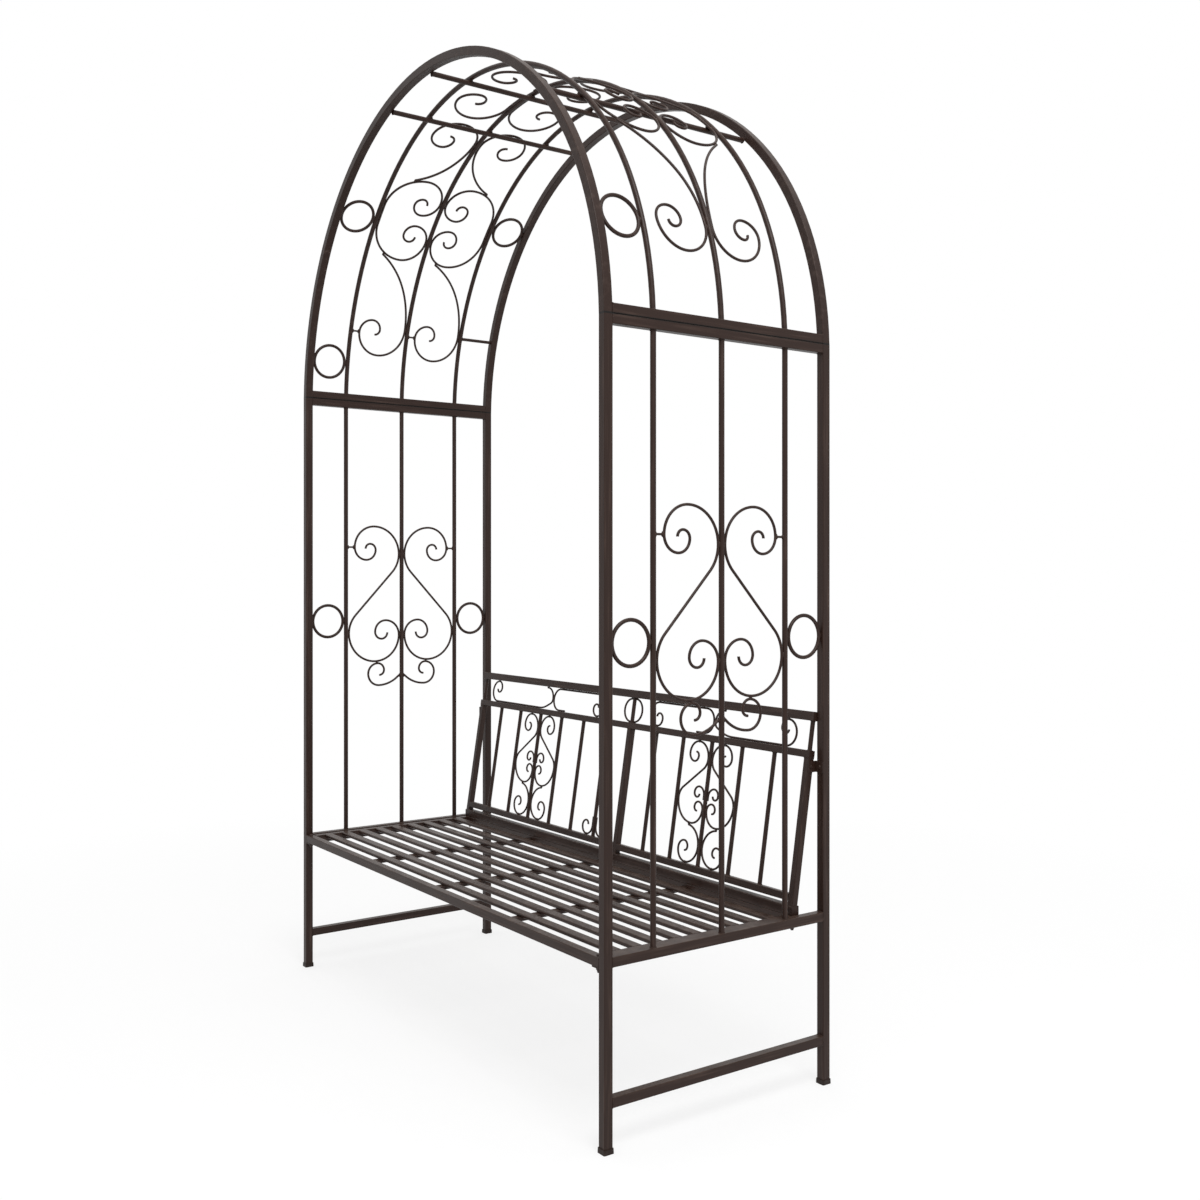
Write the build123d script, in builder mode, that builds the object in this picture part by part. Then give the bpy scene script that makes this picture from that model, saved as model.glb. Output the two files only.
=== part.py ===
"""Arbor bench: a welded steel garden arch with a slatted bench and a leaning back.

The frame has +Z up, the front of the bench faces -Y and the width runs along X.
The origin is on the floor, in the middle of the four posts. All sizes are in millimetres.
"""
import os
from math import atan2, cos, degrees, pi, radians, sin, sqrt, tan

from build123d import *

os.makedirs("parts", exist_ok=True)

# Driving dimensions of the whole bench
post_spacing_x = 1430.0
post_spacing_y = 580.0
split_height = 1596.0
arch_centre_drop = 18.0
stretcher_bottom = 85.0
seat_frame_bottom = 350.0
panel_seat_rail_bottom = 352.0

# Stock that the bench is made of
tube = 20.0
tube_wall = 1.2
tube_corner = 2.0
tube_inner_corner = 0.8
back_tube = 16.0
bar_diameter = 12.0
back_bar_diameter = 10.0
wire_diameter = 6.0
back_wire_diameter = 5.0
ring_bar_diameter = 8.0
stub_diameter = 5.0
spacer_diameter = 9.0
touch_gap = 0.15

# Side panels
bar_offset = 176.0
ring_height = 967.0
panel_scroll_top_touch = 1160.0
panel_scroll_low_touch = 930.0
moustache_bend = 90.0
moustache_dive = 45.0

# Roof, with angles counted from the level of the arch centres
left_purlin_x = -205.0
right_purlin_x = 465.0
left_low_angle = 18.75
left_c_angle = 45.0
right_low_angle = 19.2
right_c_angle = 49.5
c_scroll_back = 60.0
left_upper_clearance = 33.0
right_upper_clearance = 27.0
upper_scroll_straight = 5.0
crown_gap = 23.0
left_crown_straight = 85.0
right_crown_straight = 35.0
left_front_ring_angles = (10.0, 43.5)
left_rear_ring_angle = 46.0
right_front_ring_angle = 18.0
spacer_angle = 18.5

# Seat
slat_count = 9
slat_width = 24.0
slat_thickness = 8.0
slat_wall = 1.2
slat_rounding = 0.36
cross_bar_count = 3
cross_bar_width = 20.0
cross_bar_thickness = 8.0
seat_set_back = 72.0

# Back, with rises measured from the foot rail along the lean
back_lean = 9.0
bottom_rail_rise = 8.0
middle_rail_rise = 316.0
top_rail_rise = 396.0
left_bay_count = 7
right_bay_count = 6
unit_numbers = (3, 10)
foot_curl_numbers = (6,)
belly_rise = 150.0
hook_rise = 154.0
hook_straight = 10.0
band_reach = 245.0
band_end_gap = 45.0
band_dive = 65.0
top_rail_gap = 0.5

# Fasteners, brackets and feet
bolt_diameter = 6.0
bolt_hole = 6.6
bolt_head_diameter = 10.5
bolt_head_height = 3.3
head_taper = 20.0
nut_flats = 10.0
nut_height = 5.0
dome_height = 6.0
dome_taper = 18.0
bracket_thickness = 2.0
back_bracket_height = 24.0
back_bracket_drop = 6.0
back_bracket_gap = 1.0
screw_diameter = 4.0
screw_hole = 4.4
screw_head_diameter = 8.0
screw_head_height = 2.5
screw_length = 9.0
sleeve_gap = 0.7
sleeve_in_post = 40.0
sleeve_in_arch = 9.0
end_plate_thickness = 1.5
end_plate_gap = 0.1
foot_cap_height = 10.0
foot_cap_base = 24.0
foot_cap_floor = 2.0
foot_cap_taper = 2.6
foot_cap_corner = 3.0
foot_cap_gap = 0.1

# Places that follow from the driving dimensions
post_x = post_spacing_x / 2
post_y = post_spacing_y / 2
half_tube = tube / 2
half_back_tube = back_tube / 2
inner_x = post_x - half_tube
inner_y = post_y - half_tube
arch_radius = post_x
arch_centre_z = split_height - arch_centre_drop
bar_radius = bar_diameter / 2
wire_radius = wire_diameter / 2
back_bar_radius = back_bar_diameter / 2
back_wire_radius = back_wire_diameter / 2
seat_top = seat_frame_bottom + tube
foot_rail_top = seat_top + tube
panel_seat_rail_top = panel_seat_rail_bottom + tube
arch_rail_top = split_height + tube
panel_rail_underside = split_height - tube
bar_lines = (-bar_offset, 0.0, bar_offset)
tube_bore = tube - 2 * tube_wall
seat_frame_x = inner_x - bracket_thickness
seat_end_x = seat_frame_x - half_tube
slat_end_x = seat_frame_x - tube
slat_start_y = -inner_y
seat_rear_y = post_y - seat_set_back
slat_stop_y = seat_rear_y - half_tube
slat_gap = (slat_stop_y - slat_start_y - slat_count * slat_width) / (slat_count + 1)

# Rolled ends of the scrolls: radii of quarter turns, as shares of the clear width they fill,
# and the two rounds of a C: centre across, centre beyond its straight back and radius, as shares too
BELLY_WIDE_CURL = (0.52, 0.48, 0.27, 0.21, 0.13, 0.115)
PANEL_CURL = (0.50, 0.385, 0.23, 0.185, 0.11, 0.09)
C_CURL = (0.60, 0.40, 0.28, 0.185, 0.13, 0.10)
LEFT_LOW_CURL = (0.495, 0.395, 0.23, 0.165, 0.09)
RIGHT_LOW_CURL = (0.41, 0.40, 0.23, 0.175, 0.13, 0.08)
UPPER_CURL = (0.42, 0.38, 0.25, 0.17, 0.11)
CROWN_CURL = (0.45, 0.42, 0.26, 0.17, 0.11)
MOUSTACHE_CURL = (0.215, 0.19, 0.127, 0.09)
HEART_TOP_CURL = (0.415, 0.325, 0.205, 0.15, 0.10)
BELLY_CURL = (0.60, 0.40, 0.18, 0.14, 0.10)
BACK_LOW_CURL = (0.45, 0.325, 0.215, 0.15, 0.10)
HOOK_CURL = (0.215, 0.165, 0.11, 0.09)
FOOT_CURL = (0.26, 0.22, 0.16, 0.11)
BAND_CURL = (1.0, 1.0, 0.62, 0.46, 0.31)
C_OUTER_ROUND = (1 - C_CURL[0], 0.0, C_CURL[0])
C_INNER_ROUND = (C_CURL[0], C_CURL[0] - C_CURL[1], C_CURL[1])
BAND_DIVE_BEND = 0.5
BAND_LEVEL_BEND = 3.0
STEM_STEEPNESS = 1.25
STEP_ANGLE = 45.0
STEP_LENGTH = 60.0


def arc(radius, turn):
    """A bend of the wire: its radius and its turn in degrees, positive to the left."""
    return ("arc", radius, turn)


def run(length):
    """A straight run of the wire."""
    return ("run", length, 0.0)


def curl(shares, width, turn):
    """Quarter turns of shrinking radius: the rolled end of a scroll, to the left for turn +1."""
    return [arc(share * width, 90.0 * turn) for share in shares]


def stem(width, drop, turn):
    """The S between two upright touching points that lie width across and drop along."""
    slope = STEM_STEEPNESS * atan2(width, drop)
    bend = (drop * sin(slope) - width * cos(slope)) / (2 * (1 - cos(slope)))
    straight = (width - 2 * bend * (1 - cos(slope))) / sin(slope)
    bend_turn = degrees(slope) * turn
    return [arc(bend, bend_turn), run(straight), arc(bend, -bend_turn)]


def bend_beside(width, length, reach, turn):
    """One bend off an upright line to the side of a round, whose centre lies width across and length along."""
    bend = (width * width + length * length - reach * reach) / (2 * (width + reach))
    return [arc(bend, degrees(atan2(length, bend - width)) * turn)]


def trace(start, heading, moves):
    """Follow the moves from a point of the plane: a list of (across, along, heading in degrees)."""
    across, along = start
    nodes = [(across, along, heading)]
    for kind, size, turn in moves:
        steps = size / STEP_LENGTH if kind == "run" else abs(turn) / STEP_ANGLE
        count = max(1, round(steps))
        bend = turn / count
        stride = size / count if kind == "run" else 2 * size * sin(radians(abs(bend)) / 2)
        for _ in range(count):
            across += stride * cos(radians(heading + bend / 2))
            along += stride * sin(radians(heading + bend / 2))
            heading += bend
            nodes.append((across, along, heading))
    return nodes


def two_way(start, heading, ahead, behind):
    """One wire through a touching point: the moves behind it reversed, then the moves ahead."""
    back = trace(start, heading + 180.0, behind)
    turned = [(across, along, way + 180.0) for across, along, way in reversed(back)]
    return turned[:-1] + trace(start, heading, ahead)


def panel_place(side, hand):
    """Lay a flat path into a side panel: across runs from the middle bar, along is the height."""
    def place(across, along, heading):
        point = Vector(side * post_x, hand * across, along)
        return point, Vector(0, hand * cos(radians(heading)), sin(radians(heading)))
    return place


def roof_place(side, hand, line):
    """Wrap a flat path round the roof: across runs from a rod, along is the length of arc."""
    def place(across, along, heading):
        angle = along / arch_radius
        climb = sin(radians(heading))
        z = arch_centre_z + arch_radius * sin(angle)
        point = Vector(side * arch_radius * cos(angle), line + hand * across, z)
        return point, Vector(-side * sin(angle) * climb, hand * cos(radians(heading)), cos(angle) * climb)
    return place


def back_point(across, rise):
    """A point of the leaning plane of the back, by its rise from the foot rail along the lean."""
    lean = radians(back_lean)
    return Vector(across, seat_rear_y + rise * sin(lean), foot_rail_top + rise * cos(lean))


def back_place(hand, line):
    """Lay a flat path into the back: across runs from an upright line of the back."""
    def place(across, along, heading):
        lean = radians(back_lean)
        climb = sin(radians(heading))
        way = Vector(hand * cos(radians(heading)), climb * sin(lean), climb * cos(lean))
        return back_point(line + hand * across, along), way
    return place


def bend_between(start, start_way, end, end_way):
    """A straight line, one arc or two tangent arcs from a point and direction to the next."""
    chord = end - start
    along = chord.normalized()
    mirrored = along * (2 * along.dot(start_way)) - start_way
    if along.cross(start_way).length + along.cross(end_way).length < 1e-6:
        Line(start, end)
    elif (mirrored - end_way).length < 1e-6:
        TangentArc(start, end, tangent=start_way)
    else:
        reach = chord.dot(start_way + end_way)
        spread = 2 * (1 - start_way.dot(end_way))
        arm = chord.dot(chord) / (reach + sqrt(reach * reach + spread * chord.dot(chord)))
        middle = (start + end + (start_way - end_way) * arm) * 0.5
        TangentArc(start, middle, tangent=start_way)
        TangentArc(middle, end, tangent=chord - (start_way + end_way) * arm)


def bent_wire(nodes, place, diameter):
    """Sweep a round wire along a traced path."""
    placed = [place(*node) for node in nodes]
    with BuildLine() as path:
        for (start, start_way), (end, end_way) in zip(placed, placed[1:]):
            bend_between(start, start_way, end, end_way)
    with BuildSketch(Plane(origin=placed[0][0], z_dir=placed[0][1])) as section:
        Circle(diameter / 2)
    sweep(section.sketch, path=path.wire())


def straight_bar(start, end, diameter, mode=Mode.ADD):
    """A round bar from one point to another, or a round hole if the mode takes it away."""
    way = Vector(end) - Vector(start)
    with BuildSketch(Plane(origin=start, z_dir=way)) as section:
        Circle(diameter / 2)
    extrude(section.sketch, amount=way.length, mode=mode)


def tube_section(size):
    """The section of a square tube with rounded corners."""
    RectangleRounded(size, size, tube_corner)
    bore = size - 2 * tube_wall
    RectangleRounded(bore, bore, tube_inner_corner, mode=Mode.SUBTRACT)


def square_tube(start, end, size, side_way):
    """A square tube from one point to another, with two of its faces square to side_way."""
    way = Vector(end) - Vector(start)
    with BuildSketch(Plane(origin=start, x_dir=side_way, z_dir=way)) as section:
        tube_section(size)
    extrude(section.sketch, amount=way.length)


def upright_hole(x, y, bottom, top, diameter):
    """An upright hole through everything between two heights, open at both."""
    straight_bar((x, y, bottom - half_tube), (x, y, top + half_tube), diameter, Mode.SUBTRACT)


def round_head(seat, way, diameter, height):
    """A low head that sits on a face and narrows away from it."""
    with BuildSketch(Plane(origin=seat, z_dir=way)) as section:
        Circle(diameter / 2)
    extrude(section.sketch, amount=height, taper=head_taper)


def upright_bolt(x, y, head_seat, length):
    """A bolt that hangs down from the seat of its head."""
    straight_bar((x, y, head_seat), (x, y, head_seat - length), bolt_diameter)
    round_head((x, y, head_seat), (0, 0, 1), bolt_head_diameter, bolt_head_height)


def dome_nut(x, y, seat):
    """A nut that hangs below its seat, its bore clear of the bolt, closed by a dome."""
    with BuildSketch(Plane(origin=(x, y, seat), z_dir=(0, 0, -1))) as section:
        RegularPolygon(nut_flats / 2, 6, major_radius=False)
        Circle(bolt_diameter / 2 + touch_gap, mode=Mode.SUBTRACT)
    extrude(section.sketch, amount=nut_height)
    with BuildSketch(Plane(origin=(x, y, seat - nut_height), z_dir=(0, 0, -1))) as cap:
        Circle(nut_flats / 2)
    extrude(cap.sketch, amount=dome_height, taper=dome_taper)


def save(builder, name):
    """Label a finished piece and write it."""
    builder.part.label = name
    export_step(builder.part, f"parts/{name}.step")


# The back's own lines, and the brackets between its outer stiles and the rear posts
stile_outside = inner_x - back_bracket_gap - bracket_thickness
stile_x = stile_outside - half_back_tube
bay_count = left_bay_count + right_bay_count
bay_width = 2 * stile_x / bay_count
bay_lines = [-stile_x + number * bay_width for number in range(bay_count + 1)]
stile_lines = [bay_lines[0], bay_lines[left_bay_count], bay_lines[bay_count]]
bar_foot = bottom_rail_rise + back_tube
band_foot = middle_rail_rise + back_tube
back_bracket_z = back_point(0, middle_rail_rise).Z - back_bracket_drop - back_bracket_height / 2
stile_screw_y = seat_rear_y + (back_bracket_z - foot_rail_top) * tan(radians(back_lean))
stile_screw_seat = stile_outside + bracket_thickness
post_screw_seat = inner_y - bracket_thickness

# Posts with their feet
for side, side_name in ((-1, "left"), (1, "right")):
    for depth, depth_name in ((-1, "front"), (1, "rear")):
        x, y = side * post_x, depth * post_y
        with BuildPart() as post:
            square_tube((x, y, foot_cap_floor), (x, y, split_height), tube, (1, 0, 0))
            if depth_name == "rear":
                straight_bar((x, inner_y - half_tube, back_bracket_z), (x, post_y, back_bracket_z),
                             screw_hole, Mode.SUBTRACT)
        save(post, f"{side_name}_{depth_name}_post")

cap_inside = tube + 2 * foot_cap_gap
with BuildPart() as foot_caps:
    with BuildSketch():
        with GridLocations(post_spacing_x, post_spacing_y, 2, 2):
            RectangleRounded(foot_cap_base, foot_cap_base, foot_cap_corner)
    extrude(amount=foot_cap_height, taper=foot_cap_taper)
    with BuildSketch(Plane.XY.offset(foot_cap_floor)):
        with GridLocations(post_spacing_x, post_spacing_y, 2, 2):
            RectangleRounded(cap_inside, cap_inside, tube_corner)
    extrude(amount=foot_cap_height, mode=Mode.SUBTRACT)
save(foot_caps, "foot_caps")

# Rails, bars, rings and scrolls of the two side panels
ring_outside = inner_y - bar_offset - bar_radius - 2 * touch_gap
ring_radius = (ring_outside - ring_bar_diameter) / 2
ring_line = (inner_y + bar_offset + bar_radius) / 2
scroll_near = bar_radius + wire_radius + touch_gap
scroll_width = bar_offset - 2 * scroll_near
stub_end = bar_offset - bar_radius - touch_gap


def cross_tube(side, bottom):
    """A square tube from the front post to the rear post."""
    x, z = side * post_x, bottom + half_tube
    square_tube((x, -inner_y, z), (x, inner_y, z), tube, (1, 0, 0))


def panel_scroll(place):
    """One S-scroll of a side panel with the stub beside its upper curl."""
    touch = (scroll_near, panel_scroll_top_touch)
    down = stem(scroll_width, panel_scroll_top_touch - panel_scroll_low_touch, 1)
    down += curl(BELLY_WIDE_CURL, scroll_width, -1)
    bent_wire(two_way(touch, -90.0, down, curl(PANEL_CURL, scroll_width, -1)), place, wire_diameter)
    stub_z = panel_scroll_top_touch + (PANEL_CURL[0] - PANEL_CURL[1]) * scroll_width
    stub_start = scroll_near + (PANEL_CURL[0] + PANEL_CURL[1]) * scroll_width + wire_radius + touch_gap
    straight_bar(place(stub_start, stub_z, 0.0)[0], place(stub_end, stub_z, 0.0)[0], stub_diameter)


def moustache(place):
    """The short wire below an S-scroll: it dives away from the bar and curls up under the scroll."""
    dip = moustache_bend * (1 - cos(radians(moustache_dive)))
    rise = (MOUSTACHE_CURL[0] + MOUSTACHE_CURL[1]) * scroll_width
    scroll_foot = panel_scroll_low_touch - BELLY_WIDE_CURL[0] * scroll_width
    start = (scroll_near, scroll_foot - wire_diameter - touch_gap - rise + dip)
    moves = [arc(moustache_bend, moustache_dive)] + curl(MOUSTACHE_CURL, scroll_width, 1)
    bent_wire(trace(start, -moustache_dive, moves), place, wire_diameter)


for side, side_name in ((-1, "left"), (1, "right")):
    with BuildPart() as panel_top_rail:
        cross_tube(side, panel_rail_underside)
    save(panel_top_rail, f"{side_name}_panel_top_rail")

    with BuildPart() as panel_seat_rail:
        cross_tube(side, panel_seat_rail_bottom)
    save(panel_seat_rail, f"{side_name}_panel_seat_rail")

    with BuildPart() as stretcher:
        cross_tube(side, stretcher_bottom)
    save(stretcher, f"{side_name}_stretcher")

    with BuildPart() as panel_bars:
        for y in bar_lines:
            x = side * post_x
            straight_bar((x, y, panel_seat_rail_top), (x, y, panel_rail_underside), bar_diameter)
    save(panel_bars, f"{side_name}_panel_bars")

    with BuildPart() as panel_scrolls:
        for hand in (-1, 1):
            panel_scroll(panel_place(side, hand))
            moustache(panel_place(side, hand))
    save(panel_scrolls, f"{side_name}_panel_scrolls")

with BuildPart() as panel_rings:
    for x in (-post_x, post_x):
        for y in (-ring_line, ring_line):
            with Locations(Location((x, y, ring_height), (0, 90, 0))):
                Torus(ring_radius, ring_bar_diameter / 2)
save(panel_rings, "panel_rings")

# Arches, rods, rails and purlins of the roof
for depth, depth_name in ((-1, "front"), (1, "rear")):
    with BuildPart() as arch:
        with BuildSketch(Plane.XY.offset(arch_centre_z)):
            with Locations((arch_radius, depth * post_y)):
                tube_section(tube)
        revolve(axis=Axis((0, 0, arch_centre_z), (0, -1, 0)), revolution_arc=180)
        split(bisect_by=Plane.XY.offset(split_height), keep=Keep.TOP)
    save(arch, f"{depth_name}_arch")

for y, rod_name in zip(bar_lines, ("front", "middle", "rear")):
    with BuildPart() as arch_rod:
        with BuildSketch(Plane.XY.offset(arch_centre_z)):
            with Locations((arch_radius, y)):
                Circle(bar_radius)
        revolve(axis=Axis((0, 0, arch_centre_z), (0, -1, 0)), revolution_arc=180)
        split(bisect_by=Plane.XY.offset(arch_rail_top), keep=Keep.TOP)
    save(arch_rod, f"{rod_name}_arch_rod")

for side, side_name in ((-1, "left"), (1, "right")):
    with BuildPart() as arch_rail:
        cross_tube(side, split_height)
    save(arch_rail, f"{side_name}_arch_rail")

with BuildPart() as joint_sleeves:
    for x in (-post_x, post_x):
        for y in (-post_y, post_y):
            square_tube((x, y, split_height - sleeve_in_post), (x, y, split_height + sleeve_in_arch),
                        tube_bore - 2 * sleeve_gap, (1, 0, 0))
save(joint_sleeves, "joint_sleeves")

purlin_radius = arch_radius - bar_diameter - touch_gap
with BuildPart() as roof_purlins:
    for x in (left_purlin_x, 0.0, right_purlin_x):
        z = arch_centre_z + sqrt(purlin_radius ** 2 - x ** 2)
        straight_bar((x, -inner_y, z), (x, inner_y, z), bar_diameter)
save(roof_purlins, "roof_purlins")


# Scrolls, rings and the spacer between the roof rods
def roof_length(angle):
    """Length along the roof from the level of the arch centres up to an angle in degrees."""
    return arch_radius * radians(angle)


def beside_c(length, c_round, turn):
    """A bend off a rod to the side of a round of a C, length away from the end of the C's straight back."""
    across, beyond, radius = (share * scroll_width for share in c_round)
    return bend_beside(across, length - beyond, radius + wire_diameter + touch_gap, turn)


def low_roof_scroll(place, touch_angle, c_angle, c_round, shares):
    """The lower S: a curl by the foot of the roof, a touch on one rod and a bend up to the C above."""
    touch = (scroll_near, roof_length(touch_angle))
    climb = beside_c(roof_length(c_angle) - c_scroll_back / 2 - roof_length(touch_angle), c_round, -1)
    bent_wire(two_way(touch, 90.0, climb, curl(shares, scroll_width, 1)), place, wire_diameter)


def low_roof_stub(place, touch_angle, shares):
    """The short bar from the curl of a lower S to the rod that the curl doesn't reach."""
    height = roof_length(touch_angle) - (shares[0] - shares[1]) * scroll_width
    start = scroll_near + (shares[0] + shares[1]) * scroll_width + wire_radius + touch_gap
    straight_bar(place(start, height, 0.0)[0], place(stub_end, height, 0.0)[0], stub_diameter)


def c_roof_scroll(place, middle_angle):
    """A C whose back lies on an outer rod and whose curls touch the middle rod."""
    middle = (scroll_near + scroll_width, roof_length(middle_angle))
    upper = [run(c_scroll_back / 2)] + curl(C_CURL, scroll_width, 1)
    lower = [run(c_scroll_back / 2)] + curl(C_CURL, scroll_width, -1)
    bent_wire(two_way(middle, 90.0, upper, lower), place, wire_diameter)


crown_top = arch_radius * pi / 2 - crown_gap


def upper_roof_scroll(place, middle_angle, crown_straight, clearance):
    """The wire on top of a C: it bends from the C to the middle rod, runs up beside it and curls outward,
    as high as a clearance below the crown scroll lets it."""
    crown_foot = crown_top - crown_straight - CROWN_CURL[0] * scroll_width
    height = crown_foot - clearance - UPPER_CURL[0] * scroll_width - upper_scroll_straight
    up = [run(upper_scroll_straight)] + curl(UPPER_CURL, scroll_width, -1)
    down = beside_c(height - roof_length(middle_angle) - c_scroll_back / 2, C_OUTER_ROUND, 1)
    touch = (scroll_near, height)
    bent_wire(two_way(touch, 90.0, up, down), place, wire_diameter)


with BuildPart() as left_low_roof_scrolls:
    for line, c_round in ((0.0, C_OUTER_ROUND), (bar_offset, C_INNER_ROUND)):
        place = roof_place(-1, -1, line)
        low_roof_scroll(place, left_low_angle, left_c_angle, c_round, LEFT_LOW_CURL)
        low_roof_stub(place, left_low_angle, LEFT_LOW_CURL)
save(left_low_roof_scrolls, "left_low_roof_scrolls")

with BuildPart() as right_low_roof_scrolls:
    for hand in (-1, 1):
        low_roof_scroll(roof_place(1, hand, 0.0), right_low_angle, right_c_angle, C_OUTER_ROUND, RIGHT_LOW_CURL)
save(right_low_roof_scrolls, "right_low_roof_scrolls")

roof_sides = ((-1, "left", left_c_angle, left_crown_straight, left_upper_clearance),
              (1, "right", right_c_angle, right_crown_straight, right_upper_clearance))
for side, side_name, middle_angle, crown_straight, clearance in roof_sides:
    with BuildPart() as c_roof_scrolls:
        for hand in (-1, 1):
            c_roof_scroll(roof_place(side, hand, 0.0), middle_angle)
    save(c_roof_scrolls, f"{side_name}_c_roof_scrolls")

    with BuildPart() as upper_roof_scrolls:
        for hand in (-1, 1):
            upper_roof_scroll(roof_place(side, hand, 0.0), middle_angle, crown_straight, clearance)
    save(upper_roof_scrolls, f"{side_name}_upper_roof_scrolls")

with BuildPart() as crown_scrolls:
    crown_start = (scroll_near, crown_top)
    for side, straight in ((-1, left_crown_straight), (1, right_crown_straight)):
        for hand in (-1, 1):
            crown_path = trace(crown_start, -90.0, [run(straight)] + curl(CROWN_CURL, scroll_width, 1))
            bent_wire(crown_path, roof_place(side, hand, 0.0), wire_diameter)
save(crown_scrolls, "crown_scrolls")

ring_places = [(-1, -ring_line, angle) for angle in left_front_ring_angles]
ring_places += [(-1, ring_line, left_rear_ring_angle), (1, -ring_line, right_front_ring_angle)]
with BuildPart() as roof_rings:
    for side, y, angle in ring_places:
        x = side * arch_radius * cos(radians(angle))
        z = arch_centre_z + arch_radius * sin(radians(angle))
        with Locations(Location((x, y, z), (0, side * (90 - angle), 0))):
            Torus(ring_radius, ring_bar_diameter / 2)
save(roof_rings, "roof_rings")

with BuildPart() as left_roof_spacer:
    place = roof_place(-1, 1, 0.0)
    spacer_start = place(bar_offset + bar_radius + touch_gap, roof_length(spacer_angle), 0.0)[0]
    straight_bar(spacer_start, place(inner_y, roof_length(spacer_angle), 0.0)[0], spacer_diameter)
save(left_roof_spacer, "left_roof_spacer")

# Seat frame with its slats
seat_middle = seat_frame_bottom + half_tube
with BuildPart() as seat_front_rail:
    square_tube((-seat_frame_x, -post_y, seat_middle), (seat_frame_x, -post_y, seat_middle), tube, (0, 1, 0))
    for x in (-seat_end_x, seat_end_x):
        upright_hole(x, -post_y, seat_frame_bottom, seat_top, bolt_hole)
save(seat_front_rail, "seat_front_rail")

with BuildPart() as seat_rear_rail:
    square_tube((-slat_end_x, seat_rear_y, seat_middle), (slat_end_x, seat_rear_y, seat_middle), tube, (0, 1, 0))
save(seat_rear_rail, "seat_rear_rail")

for side, side_name in ((-1, "left"), (1, "right")):
    x = side * seat_end_x
    with BuildPart() as seat_end_rail:
        square_tube((x, -inner_y, seat_middle), (x, seat_rear_y + half_tube, seat_middle), tube, (1, 0, 0))
        upright_hole(x, seat_rear_y, seat_frame_bottom, seat_top, bolt_hole)
    save(seat_end_rail, f"seat_{side_name}_rail")

with BuildPart() as seat_slats:
    bore_width, bore_thickness = slat_width - 2 * slat_wall, slat_thickness - 2 * slat_wall
    for number in range(slat_count):
        y = slat_start_y + slat_gap + slat_width / 2 + number * (slat_width + slat_gap)
        start = (-slat_end_x, y, seat_top - slat_thickness / 2)
        with BuildSketch(Plane(origin=start, x_dir=(0, 1, 0), z_dir=(1, 0, 0))) as section:
            RectangleRounded(slat_width, slat_thickness, slat_rounding * slat_thickness)
            RectangleRounded(bore_width, bore_thickness, slat_rounding * bore_thickness, mode=Mode.SUBTRACT)
        extrude(section.sketch, amount=2 * slat_end_x)
save(seat_slats, "seat_slats")

with BuildPart() as seat_cross_bars:
    for number in range(cross_bar_count):
        x = slat_end_x * (2 * (number + 1) / (cross_bar_count + 1) - 1)
        z = seat_top - slat_thickness - cross_bar_thickness / 2
        with Locations((x, (slat_start_y + slat_stop_y) / 2, z)):
            Box(cross_bar_width, slat_stop_y - slat_start_y, cross_bar_thickness)
save(seat_cross_bars, "seat_cross_bars")

bracket_leg = tube + bracket_thickness
with BuildPart() as seat_brackets:
    for side in (-1, 1):
        for y in (-post_y, seat_rear_y):
            with Locations((side * (inner_x - bracket_leg / 2), y, seat_frame_bottom - bracket_thickness / 2)):
                Box(bracket_leg, tube, bracket_thickness)
            with Locations((side * (inner_x - bracket_thickness / 2), y, seat_middle)):
                Box(bracket_thickness, tube, tube)
            upright_hole(side * seat_end_x, y, seat_frame_bottom - bracket_thickness, seat_frame_bottom, bolt_hole)
save(seat_brackets, "seat_brackets")

# Rails, stiles and bars of the back
lean_way = back_point(0, 1) - back_point(0, 0)


def back_rail(left, right, rise, size):
    """A square tube along the back whose lower face is at a rise of the leaning plane."""
    square_tube(back_point(left, rise + size / 2), back_point(right, rise + size / 2), size, lean_way)


with BuildPart() as back_foot_rail:
    z = seat_top + half_tube
    square_tube((-seat_frame_x, seat_rear_y, z), (seat_frame_x, seat_rear_y, z), tube, (0, 1, 0))
    for x in (-seat_end_x, seat_end_x):
        upright_hole(x, seat_rear_y, seat_top, foot_rail_top, bolt_hole)
save(back_foot_rail, "back_foot_rail")

with BuildPart() as back_bottom_rails:
    for left, right in zip(stile_lines, stile_lines[1:]):
        back_rail(left + half_back_tube, right - half_back_tube, bottom_rail_rise, back_tube)
save(back_bottom_rails, "back_bottom_rails")

with BuildPart() as back_middle_rail:
    back_rail(-stile_outside, stile_outside, middle_rail_rise, back_tube)
save(back_middle_rail, "back_middle_rail")

with BuildPart() as back_top_rail:
    back_rail(-(inner_x - top_rail_gap), inner_x - top_rail_gap, top_rail_rise, tube)
save(back_top_rail, "back_top_rail")

for x, outward, stile_name in zip(stile_lines, (-tube, 0, tube), ("left", "middle", "right")):
    with BuildPart() as stile:
        square_tube(back_point(x, -back_tube), back_point(x, middle_rail_rise), back_tube, (1, 0, 0))
        split(bisect_by=Plane.XY.offset(foot_rail_top), keep=Keep.TOP)
        if stile_name != "middle":
            straight_bar((x, stile_screw_y, back_bracket_z), (x + outward, stile_screw_y, back_bracket_z),
                         screw_hole, Mode.SUBTRACT)
    save(stile, f"back_{stile_name}_stile")

with BuildPart() as back_band_bars:
    for x in stile_lines:
        straight_bar(back_point(x, band_foot), back_point(x, top_rail_rise), back_bar_diameter)
save(back_band_bars, "back_band_bars")

# Scrolls of the back, each unit beside its own bar
unit_near = back_bar_radius + back_wire_radius + touch_gap
unit_width = bay_width - 2 * unit_near
rail_touch = back_wire_radius + touch_gap


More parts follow.
